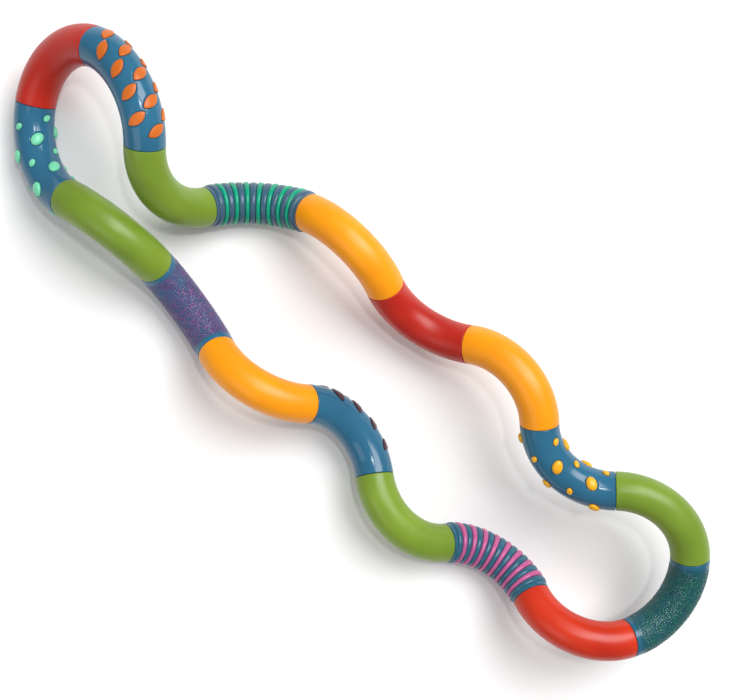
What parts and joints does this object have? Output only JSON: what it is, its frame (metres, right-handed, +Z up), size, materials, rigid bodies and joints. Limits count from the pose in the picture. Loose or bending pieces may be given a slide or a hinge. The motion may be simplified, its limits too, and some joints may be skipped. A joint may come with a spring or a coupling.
{
  "type": "twisting tube puzzle",
  "caption": "Closed loop of curved plastic tube links on friction swivels, some with soft textured skins, twisted by hand into new shapes.",
  "frame": {"origin": "centre of the bounding box on the surface that the loop lies on", "axes": "+Z up, away from the surface; +X along the loop's longer overall side; +Y across it. The loop runs from -X +Y to +X -Y."},
  "size_m": [0.2837, 0.2526, 0.0568],
  "materials": {
    "red_plastic": "polished",
    "bright_red_plastic": "polished",
    "green_plastic": "polished",
    "yellow_plastic": "polished",
    "blue_plastic": "satin",
    "grey_blue_plastic": "satin",
    "dark_blue_plastic": "satin",
    "orange_rubber": "satin",
    "teal_rubber": "satin",
    "yellow_rubber": "satin",
    "dark_green_rubber": "satin",
    "pink_rubber": "satin",
    "brown_rubber": "satin",
    "purple_rubber": "satin",
    "mint_rubber": "satin",
    "pin_plastic": "moulded"
  },
  "bodies": {
    "red_1": {"link_red_1": "red_plastic", "pin_red_1": "pin_plastic"},
    "orange_scales": {"link_orange_scales": "blue_plastic", "pin_orange_scales": "pin_plastic", "skin_orange_scales": "orange_rubber"},
    "green_1": {"link_green_1": "green_plastic", "pin_green_1": "pin_plastic"},
    "teal_ribs": {"link_teal_ribs": "grey_blue_plastic", "pin_teal_ribs": "pin_plastic", "skin_teal_ribs": "teal_rubber"},
    "yellow_1": {"link_yellow_1": "yellow_plastic", "pin_yellow_1": "pin_plastic"},
    "red_2": {"link_red_2": "red_plastic", "pin_red_2": "pin_plastic"},
    "yellow_2": {"link_yellow_2": "yellow_plastic", "pin_yellow_2": "pin_plastic"},
    "yellow_dots": {"link_yellow_dots": "blue_plastic", "pin_yellow_dots": "pin_plastic", "skin_yellow_dots": "yellow_rubber"},
    "green_2": {"link_green_2": "green_plastic", "pin_green_2": "pin_plastic"},
    "dark_crackle": {"link_dark_crackle": "dark_blue_plastic", "skin_dark_crackle": "dark_green_rubber"},
    "red_3": {"link_red_3": "bright_red_plastic", "pin_red_3": "pin_plastic"},
    "pink_ribs": {"link_pink_ribs": "blue_plastic", "pin_pink_ribs": "pin_plastic", "skin_pink_ribs": "pink_rubber"},
    "green_3": {"link_green_3": "green_plastic", "pin_green_3": "pin_plastic"},
    "brown_scales": {"link_brown_scales": "blue_plastic", "pin_brown_scales": "pin_plastic", "skin_brown_scales": "brown_rubber"},
    "yellow_3": {"link_yellow_3": "yellow_plastic", "pin_yellow_3": "pin_plastic"},
    "purple_crackle": {"link_purple_crackle": "blue_plastic", "pin_purple_crackle": "pin_plastic", "skin_purple_crackle": "purple_rubber"},
    "green_4": {"link_green_4": "green_plastic", "pin_green_4": "pin_plastic"},
    "mint_dots": {"link_mint_dots": "blue_plastic", "pin_mint_dots": "pin_plastic", "skin_mint_dots": "mint_rubber"}
  },
  "joints": [
    {"name": "swivel_orange_scales_to_green_1", "type": "hinge", "parent": "orange_scales", "child": "green_1", "pos_m": [-0.08623, 0.07918, 0.04467], "axis": [-0.065, -0.9093, -0.4111], "range_deg": [-60, 0]},
    {"name": "swivel_green_1_to_teal_ribs", "type": "hinge", "parent": "green_1", "child": "teal_ribs", "pos_m": [-0.06459, 0.05811, 0.01488], "axis": [0.7863, 0.207, -0.5821], "range_deg": [-180, 0]},
    {"name": "swivel_teal_ribs_to_yellow_1", "type": "hinge", "parent": "teal_ribs", "child": "yellow_1", "pos_m": [-0.02247, 0.05592, 0.01946], "axis": [0.6177, -0.2802, 0.7348], "range_deg": [0, 180]},
    {"name": "swivel_yellow_1_to_red_2", "type": "hinge", "parent": "yellow_1", "child": "red_2", "pos_m": [0.00791, 0.02658, 0.02356], "axis": [0.3948, -0.6976, -0.5979], "range_deg": [-180, 0]},
    {"name": "swivel_red_2_to_yellow_2", "type": "hinge", "parent": "red_2", "child": "yellow_2", "pos_m": [0.04326, 0.00313, 0.02409], "axis": [0.7837, -0.084, 0.6154], "range_deg": [0, 180]},
    {"name": "swivel_yellow_2_to_yellow_dots", "type": "hinge", "parent": "yellow_2", "child": "yellow_dots", "pos_m": [0.06998, -0.02812, 0.03454], "axis": [0.107, -0.9577, -0.267], "range_deg": [-150, 0]},
    {"name": "swivel_yellow_dots_to_green_2", "type": "hinge", "parent": "yellow_dots", "child": "green_2", "pos_m": [0.10203, -0.05592, 0.03474], "axis": [0.9613, 0.0311, 0.2736], "range_deg": [0, 180]},
    {"name": "swivel_green_2_to_dark_crackle", "type": "hinge", "parent": "green_2", "child": "dark_crackle", "pos_m": [0.13419, -0.08359, 0.03453], "axis": [0.1107, -0.9535, -0.2804], "range_deg": [-180, 180]},
    {"name": "swivel_red_1_to_orange_scales", "type": "hinge", "parent": "orange_scales", "child": "red_1", "pos_m": [-0.10516, 0.11656, 0.03798], "axis": [0.696, -0.3366, 0.6343], "range_deg": [-180, 0]},
    {"name": "swivel_mint_dots_to_red_1", "type": "hinge", "parent": "red_1", "child": "mint_dots", "pos_m": [-0.13225, 0.09846, 0.01081], "axis": [0.2073, 0.9399, 0.2713], "range_deg": [-180, 0]},
    {"name": "swivel_green_4_to_mint_dots", "type": "hinge", "parent": "mint_dots", "child": "green_4", "pos_m": [-0.11823, 0.06012, 0.02235], "axis": [-0.6748, 0.3382, -0.656], "range_deg": [0, 180]},
    {"name": "swivel_purple_crackle_to_green_4", "type": "hinge", "parent": "green_4", "child": "purple_crackle", "pos_m": [-0.08463, 0.0343, 0.02021], "axis": [-0.4452, 0.5224, 0.7273], "range_deg": [-180, 0]},
    {"name": "swivel_yellow_3_to_purple_crackle", "type": "hinge", "parent": "purple_crackle", "child": "yellow_3", "pos_m": [-0.05983, -0.0001, 0.01885], "axis": [-0.3815, 0.6241, -0.6819], "range_deg": [0, 150]},
    {"name": "swivel_brown_scales_to_yellow_3", "type": "hinge", "parent": "yellow_3", "child": "brown_scales", "pos_m": [-0.02328, -0.02124, 0.02305], "axis": [-0.8367, 0.0804, 0.5417], "range_deg": [-180, 0]},
    {"name": "swivel_green_3_to_brown_scales", "type": "hinge", "parent": "brown_scales", "child": "green_3", "pos_m": [0.0051, -0.05199, 0.01608], "axis": [-0.1096, 0.9446, -0.3095], "range_deg": [-135, 0]},
    {"name": "swivel_pink_ribs_to_green_3", "type": "hinge", "parent": "green_3", "child": "pink_ribs", "pos_m": [0.03548, -0.08139, 0.01252], "axis": [-0.903, 0.0355, 0.4282], "range_deg": [-180, 0]},
    {"name": "swivel_red_3_to_pink_ribs", "type": "hinge", "parent": "pink_ribs", "child": "red_3", "pos_m": [0.07139, -0.10273, 0.01996], "axis": [-0.294, 0.6757, -0.676], "range_deg": [-180, 180]}
  ]
}
